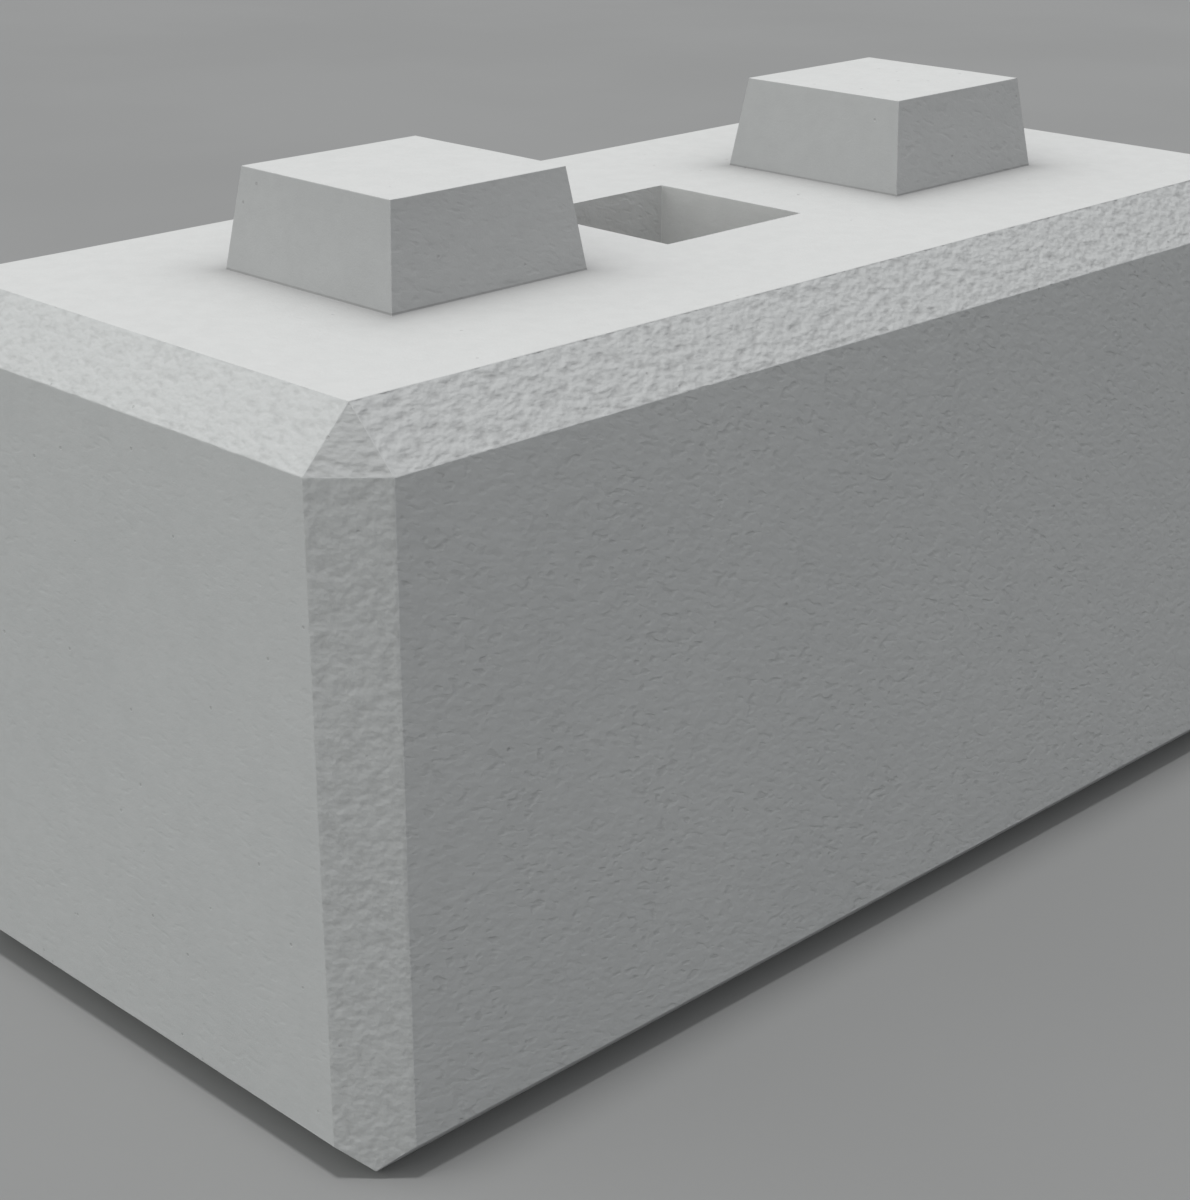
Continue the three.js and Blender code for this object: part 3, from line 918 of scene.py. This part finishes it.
def lay_along(bar, route):
    """Bends a straight bar along a route of points."""
    path = bpy.data.curves.new("route", "CURVE")
    path.dimensions = "3D"
    path.twist_mode = "MINIMUM"
    spline = path.splines.new("POLY")
    spline.points.add(len(route) - 1)
    for point, place in zip(spline.points, route):
        point.co = (*place, 1.0)
    guide = bpy.data.objects.new("route", path)
    bpy.context.scene.collection.objects.link(guide)
    pick(bar)
    modifier = bar.modifiers.new("route", "CURVE")
    modifier.object = guide
    bpy.context.view_layer.update()
    bpy.ops.object.modifier_apply(modifier=modifier.name)
    bpy.data.objects.remove(guide)


def bar_route(node, steel):
    """Centre line and diameter of a cage bar, from the room that its CAD node takes."""
    low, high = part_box(node)
    middle = (low + high) / 2
    if node.startswith("link"):
        thick = steel.link_diameter
        near, far = low.x + thick / 2, high.x - thick / 2
        leg, top, bottom = high.y - thick / 2, high.z - thick / 2, low.z + thick / 2
        corners = (
            (near, steel.link_lap - leg, top), (near, -leg, top), (near, -leg, bottom), (far, leg, bottom),
            (far, leg, top), (far, -leg, top), (far, -leg, top - steel.link_lap),
        )
        return rounded_route([Vector(place) for place in corners], steel.link_bend, steel.bend_steps), thick
    if node.startswith("stud_hairpin"):
        thick = high.x - low.x
        leg, top = high.y - thick / 2, high.z - thick / 2
        corners = ((-leg, low.z), (-leg, top), (leg, top), (leg, low.z))
        corners = [Vector((middle.x, y, z)) for y, z in corners]
        return rounded_route(corners, steel.hairpin_bend, steel.bend_steps), thick
    axis = max(range(3), key=lambda index: high[index] - low[index])
    start, end = middle.copy(), middle.copy()
    start[axis], end[axis] = low[axis], high[axis]
    return [start, end], min(high - low)


def model_bar(node, steel):
    """Ribbed bar laid along the centre line of its CAD node."""
    route, thick = bar_route(node, steel)
    span = sum((after - before).length for before, after in zip(route, route[1:]))
    bar = ribbed_stock(f"{node}_ribbed", thick, span, steel)
    lay_along(bar, route)
    return bar


def copy_piece(piece, first_node, node, suffix):
    """Copies a piece to the place of a like CAD node, with its own mesh."""
    pick(piece)
    bpy.ops.object.duplicate(linked=False)
    copy = bpy.context.object
    copy.name = f"{node}_{suffix}"
    copy.data.name = copy.name
    copy.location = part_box(node)[0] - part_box(first_node)[0]
    bpy.ops.object.transform_apply(location=True, rotation=True, scale=True)
    return copy


class BLOCK_OT_lifting_loop(bpy.types.Operator):
    """Model the lifting loop as one bent round bar"""
    bl_idname = "block.lifting_loop"
    bl_label = "Lifting loop"

    def execute(self, context):
        finish = context.scene.block_finish
        material = rusty_steel("loop_steel", finish.steel, finish.rust, 0.42, 0.60, 28.0)
        hand_over(model_loop(context.scene.block_steel), material, "lifting_loop")
        return {"FINISHED"}


class BLOCK_OT_cage_bars(bpy.types.Operator):
    """Model every ribbed bar of the hidden cage"""
    bl_idname = "block.cage_bars"
    bl_label = "Cage bars"

    def execute(self, context):
        finish = context.scene.block_finish
        steel = context.scene.block_steel
        material = rusty_steel("bar_scale_and_rust", finish.scale, finish.rust, 0.36, 0.52, 22.0)
        firsts = {}
        for node in frame["nodes"]:
            kind = kind_of(node)
            if kind not in BAR_SLOTS:
                continue
            if kind in firsts:
                first_node, first_bar = firsts[kind]
                bar = copy_piece(first_bar, first_node, node, "ribbed")
            else:
                bar = model_bar(node, steel)
                firsts[kind] = (node, bar)
            hand_over(bar, material, node)
        if set(firsts) != set(BAR_SLOTS):
            raise RuntimeError("a kind of cage bar is missing from the frame")
        return {"FINISHED"}


def model_spacer(node, steel):
    """Mortar block with rounded upright corners, sloping shoulders and a saddle for its bar."""
    low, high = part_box(node)
    middle = (low + high) / 2
    spacer = add_box(f"{node}_block", low, high)
    edit_mode()
    bpy.ops.mesh.select_mode(type="EDGE")
    bpy.ops.object.mode_set(mode="OBJECT")
    for edge in spacer.data.edges:
        first, second = (spacer.data.vertices[index].co for index in edge.vertices)
        edge.select = abs(first.z - second.z) > (high.z - low.z) / 2
    bpy.ops.object.mode_set(mode="EDIT")
    bpy.ops.mesh.bevel(offset=steel.spacer_corner, segments=4, affect="EDGES")
    shoulder = high.z - steel.spacer_shoulder
    bpy.ops.mesh.select_all(action="SELECT")
    bpy.ops.mesh.bisect(plane_co=(0, 0, shoulder), plane_no=(0, 0, 1), threshold=MERGE_GAP)
    select_vertices(spacer, lambda place: place.z > high.z - OVERRUN)
    share = 1 - 2 * steel.spacer_corner / (high.x - low.x)
    bpy.ops.transform.resize(value=(share, share, 1), center_override=(middle.x, middle.y, high.z))
    bpy.ops.object.mode_set(mode="OBJECT")
    bpy.ops.mesh.primitive_cylinder_add(
        vertices=32, radius=steel.link_diameter * SADDLE_RADIUS, depth=2 * (high.y - low.y),
        location=(middle.x, middle.y, high.z + steel.link_diameter * SADDLE_RISE),
        rotation=(QUARTER_TURN, 0, 0),
    )
    saddle = bpy.context.object
    bpy.ops.object.transform_apply(location=True, rotation=True, scale=True)
    combine(spacer, saddle, "DIFFERENCE")
    return spacer


class BLOCK_OT_cover_spacers(bpy.types.Operator):
    """Model the mortar blocks that keep the cage off the mould"""
    bl_idname = "block.cover_spacers"
    bl_label = "Cover spacers"

    def execute(self, context):
        material = mortar(context.scene.block_finish)
        nodes = [node for node in frame["nodes"] if kind_of(node) == "cover_spacer"]
        first = model_spacer(nodes[0], context.scene.block_steel)
        copies = [copy_piece(first, nodes[0], node, "block") for node in nodes[1:]]
        for node, spacer in zip(nodes, [first, *copies]):
            hand_over(spacer, material, node)
        return {"FINISHED"}


# ---------------------------------------------------------------- studio

def overhead_sky(studio):
    """Faintly blue sky, brighter at the horizon than overhead, with a soft fill from one end."""
    world = bpy.data.worlds.new("soft_studio")
    world.use_nodes = True
    tree = world.node_tree
    direction = tree.nodes.new("ShaderNodeTexCoord")
    parts = tree.nodes.new("ShaderNodeSeparateXYZ")
    fade = tree.nodes.new("ShaderNodeMapRange")
    fade.inputs["To Min"].default_value = studio.sky_level * studio.horizon_share
    fade.inputs["To Max"].default_value = studio.sky_level
    fill = tree.nodes.new("ShaderNodeMapRange")
    fill.inputs["From Max"].default_value = -1.0
    fill.inputs["To Max"].default_value = studio.fill_level
    both = tree.nodes.new("ShaderNodeMath")
    tint = tree.nodes.new("ShaderNodeMix")
    tint.data_type = "RGBA"
    tint.inputs[COLOUR_A].default_value = (*studio.sky_tint, 1.0)
    tint.inputs[COLOUR_B].default_value = (*studio.fill_tint, 1.0)
    background = tree.nodes["Background"]
    tree.links.new(direction.outputs["Generated"], parts.inputs[0])
    tree.links.new(parts.outputs["Z"], fade.inputs["Value"])
    tree.links.new(parts.outputs["X"], fill.inputs["Value"])
    tree.links.new(fade.outputs["Result"], both.inputs[0])
    tree.links.new(fill.outputs["Result"], both.inputs[1])
    tree.links.new(fill.outputs["Result"], tint.inputs[MIX_FACTOR])
    tree.links.new(tint.outputs[COLOUR_RESULT], background.inputs["Color"])
    tree.links.new(both.outputs[0], background.inputs["Strength"])
    return world


class BLOCK_OT_studio(bpy.types.Operator):
    """Set up the pale floor, the soft lights and the camera"""
    bl_idname = "block.studio"
    bl_label = "Studio"

    def execute(self, context):
        studio = context.scene.block_studio
        object_mode()
        bpy.ops.mesh.primitive_plane_add(size=studio.floor_width, location=(0, 0, LOW.z))
        floor = context.object
        floor.name = "studio_floor"
        floor.data.materials.append(studio_floor_finish(context.scene.block_finish))

        bpy.ops.object.light_add(type="SUN", location=(0, 0, 3), rotation=(0, -studio.key_lean, 0))
        key = context.object
        key.name = "overhead_key"
        key.data.energy = studio.key_strength
        key.data.angle = studio.key_softness
        context.scene.world = overhead_sky(studio)
        context.scene.view_settings.view_transform = "Standard"

        rotation = (QUARTER_TURN - studio.dip, 0, -studio.heading)
        bpy.ops.object.camera_add(location=studio.camera_place, rotation=rotation)
        camera = context.object
        camera.data.lens = studio.lens
        camera.data.sensor_width = SENSOR_WIDTH
        context.scene.camera = camera
        return {"FINISHED"}


# ---------------------------------------------------------------- panel

OPERATORS = (
    BLOCK_OT_cast_block,
    BLOCK_OT_lifting_loop,
    BLOCK_OT_cage_bars,
    BLOCK_OT_cover_spacers,
    BLOCK_OT_studio,
)
SETTINGS = (
    ("block_casting", CastingSettings),
    ("block_finish", FinishSettings),
    ("block_steel", SteelSettings),
    ("block_studio", StudioSettings),
)


class BLOCK_PT_sidebar(bpy.types.Panel):
    """Lists the build steps and their settings"""
    bl_idname = "BLOCK_PT_sidebar"
    bl_label = "Interlocking block"
    bl_space_type = "VIEW_3D"
    bl_region_type = "UI"
    bl_category = "Block"

    def draw(self, context):
        for operator in OPERATORS:
            self.layout.operator(operator.bl_idname)
        for name, group in SETTINGS:
            box = self.layout.box()
            for setting in group.__annotations__:
                box.prop(getattr(context.scene, name), setting)


def register():
    for name, group in SETTINGS:
        bpy.utils.register_class(group)
        setattr(bpy.types.Scene, name, PointerProperty(type=group))
    for operator in OPERATORS:
        bpy.utils.register_class(operator)
    bpy.utils.register_class(BLOCK_PT_sidebar)


def unregister():
    bpy.utils.unregister_class(BLOCK_PT_sidebar)
    for operator in reversed(OPERATORS):
        bpy.utils.unregister_class(operator)
    for name, group in reversed(SETTINGS):
        delattr(bpy.types.Scene, name)
        bpy.utils.unregister_class(group)


def main():
    """Builds every piece and the studio."""
    register()
    bpy.ops.block.cast_block()
    bpy.ops.block.lifting_loop()
    bpy.ops.block.cage_bars()
    bpy.ops.block.cover_spacers()
    bpy.ops.block.studio()


if __name__ == "__main__":
    main()
